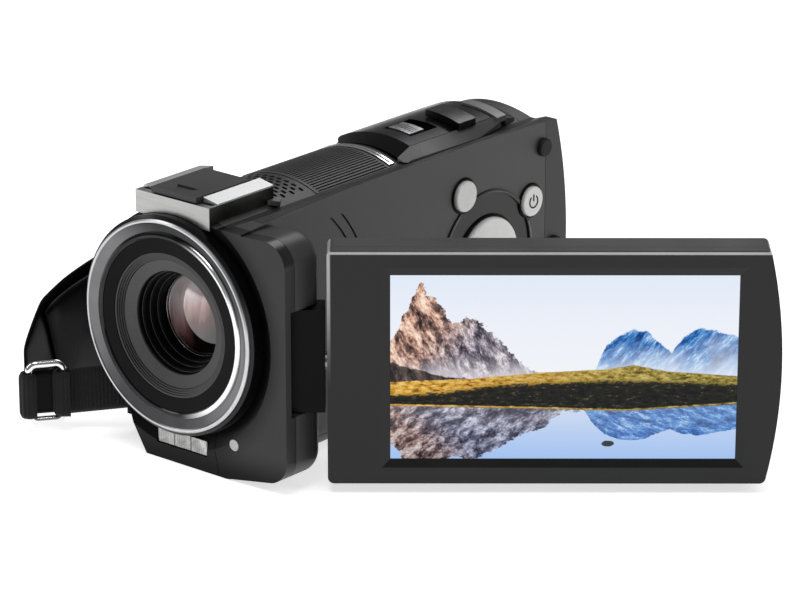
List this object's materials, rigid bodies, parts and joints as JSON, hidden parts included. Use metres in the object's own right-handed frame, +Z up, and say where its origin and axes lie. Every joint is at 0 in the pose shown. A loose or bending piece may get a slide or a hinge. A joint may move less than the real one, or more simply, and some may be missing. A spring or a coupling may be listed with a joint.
{
  "type": "camcorder",
  "caption": "Hand-held camcorder with a swing-out rolling screen, ringed lens, accessory shoe, top controls and a padded hand strap.",
  "frame": {"origin": "mouth of the tripod socket on the flat base", "axes": "+Z up, the lens looks along -Y, the screen is on the +X side"},
  "size_m": [0.1516, 0.1123, 0.0577],
  "materials": {
    "shell_plastic": "fine-textured charcoal",
    "fascia_plastic": "satin black",
    "gloss_black": "gloss black",
    "bed_plastic": "smooth satin grey",
    "chrome_trim": "bright",
    "satin_metal": "satin",
    "silver_plastic": "silver paint",
    "rubber": "matte",
    "leather": "smooth black",
    "webbing": "ribbed weave",
    "lens_glass": "coated",
    "screen_glass": "clear",
    "display": "lit picture",
    "lamp_lens": "prismatic",
    "steel": "brushed",
    "board": "circuit board"
  },
  "bodies": {
    "root": {"arc_trim": "chrome_trim", "base_cover": "shell_plastic", "base_screws": "steel", "battery": "shell_plastic", "chin_bezel": "gloss_black", "control_ring": "bed_plastic", "face_ring": "gloss_black", "front_baffle": "shell_plastic", "front_fascia": "fascia_plastic", "front_lens": "lens_glass", "grip_shell": "shell_plastic", "hinge_pin": "steel", "indicator_window": "lamp_lens", "lamp_window": "lamp_lens", "lens_barrel": "fascia_plastic", "lens_tube": "shell_plastic", "main_board": "board", "microphone_grille": "shell_plastic", "outer_ring": "chrome_trim", "rear_cover": "shell_plastic", "ribbed_panel": "shell_plastic", "ribbed_ring": "fascia_plastic", "screen_buffers": "rubber", "screen_side_shell": "bed_plastic", "sensor_board": "board", "shoe_block": "satin_metal", "shoe_rails": "chrome_trim", "shoe_spring": "chrome_trim", "speaker": "shell_plastic", "status_lamp": "lamp_lens", "strap_anchor_front": "shell_plastic", "strap_anchor_rear": "shell_plastic", "strap_pad": "leather", "strap_ring": "chrome_trim", "strap_webbing_front": "webbing", "strap_webbing_rear": "webbing", "top_cover": "shell_plastic", "top_deck": "shell_plastic", "tripod_socket": "steel"},
    "screen_arm": {"hinge_block": "gloss_black"},
    "screen": {"screen_back_shell": "shell_plastic", "screen_bezel": "fascia_plastic", "display_panel": "display", "screen_glass": "screen_glass", "roll_shaft": "steel"},
    "zoom_group": {"zoom_carriage": "shell_plastic", "zoom_lens": "lens_glass"},
    "zoom_lever": {"zoom_lever": "shell_plastic"},
    "mode_switch": {"mode_switch": "silver_plastic"},
    "photo_button": {"photo_button": "satin_metal"},
    "record_button": {"record_button": "satin_metal"},
    "silver_button": {"silver_button": "silver_plastic"},
    "power_button": {"power_button": "silver_plastic"},
    "menu_button": {"menu_button": "silver_plastic"},
    "playback_button": {"playback_button": "silver_plastic"},
    "navigation_pad": {"navigation_pad": "silver_plastic"},
    "pad_centre_button": {"pad_centre_button": "silver_plastic"},
    "card_door": {"card_door": "bed_plastic"},
    "battery_door": {"battery_door": "shell_plastic"},
    "shoe_cover": {"shoe_cover": "shell_plastic"}
  },
  "joints": [
    {"name": "screen_swing", "type": "hinge", "parent": "root", "child": "screen_arm", "pos_m": [0.0259, -0.0455, 0.0266], "axis": [0, 0, -1], "range_deg": [-50, 40]},
    {"name": "screen_roll", "type": "hinge", "parent": "screen_arm", "child": "screen", "pos_m": [0.0259, -0.0455, 0.0266], "axis": [-0.766, -0.6428, 0], "range_deg": [0, 270]},
    {"name": "zoom_lever_tilt", "type": "hinge", "parent": "root", "child": "zoom_lever", "pos_m": [0.003, 0.0284, 0.03], "axis": [0, 1, 0], "range_deg": [-2.6, 2.6], "stiffness_Nm_per_rad": 0.3},
    {"name": "mode_switch_slide", "type": "slide", "parent": "root", "child": "mode_switch", "axis": [0, 1, 0], "range_m": [0, 0.0026]},
    {"name": "shoe_cover_slide", "type": "slide", "parent": "root", "child": "shoe_cover", "axis": [0, 1, 0], "range_m": [0, 0.012]},
    {"name": "zoom_group_slide", "type": "slide", "parent": "root", "child": "zoom_group", "axis": [0, 1, 0], "range_m": [-0.007, 0.014]},
    {"name": "card_door_hinge", "type": "hinge", "parent": "root", "child": "card_door", "pos_m": [0.0189, -0.003, 0.00594], "axis": [0, 1, 0], "range_deg": [0, 100]},
    {"name": "battery_door_hinge", "type": "hinge", "parent": "root", "child": "battery_door", "pos_m": [0, 0.051, 0.00494], "axis": [-1, 0, 0], "range_deg": [0, 80]},
    {"name": "photo_button_press", "type": "slide", "parent": "root", "child": "photo_button", "axis": [0, 0, -1], "range_m": [0, 0.0004], "stiffness_N_per_m": 400},
    {"name": "record_button_press", "type": "slide", "parent": "root", "child": "record_button", "axis": [0, -1, 0], "range_m": [0, 0.0007], "stiffness_N_per_m": 400},
    {"name": "silver_button_press", "type": "slide", "parent": "root", "child": "silver_button", "axis": [-1, 0, 0], "range_m": [0, 0.0006], "stiffness_N_per_m": 400},
    {"name": "power_button_press", "type": "slide", "parent": "root", "child": "power_button", "axis": [-1, 0, 0], "range_m": [0, 0.0006], "stiffness_N_per_m": 400},
    {"name": "menu_button_press", "type": "slide", "parent": "root", "child": "menu_button", "axis": [-1, 0, 0], "range_m": [0, 0.0006], "stiffness_N_per_m": 400},
    {"name": "playback_button_press", "type": "slide", "parent": "root", "child": "playback_button", "axis": [-1, 0, 0], "range_m": [0, 0.0006], "stiffness_N_per_m": 400},
    {"name": "navigation_pad_press", "type": "slide", "parent": "root", "child": "navigation_pad", "axis": [-1, 0, 0], "range_m": [0, 0.0005], "stiffness_N_per_m": 400},
    {"name": "pad_centre_button_press", "type": "slide", "parent": "root", "child": "pad_centre_button", "axis": [-1, 0, 0], "range_m": [0, 0.0007], "stiffness_N_per_m": 400}
  ]
}
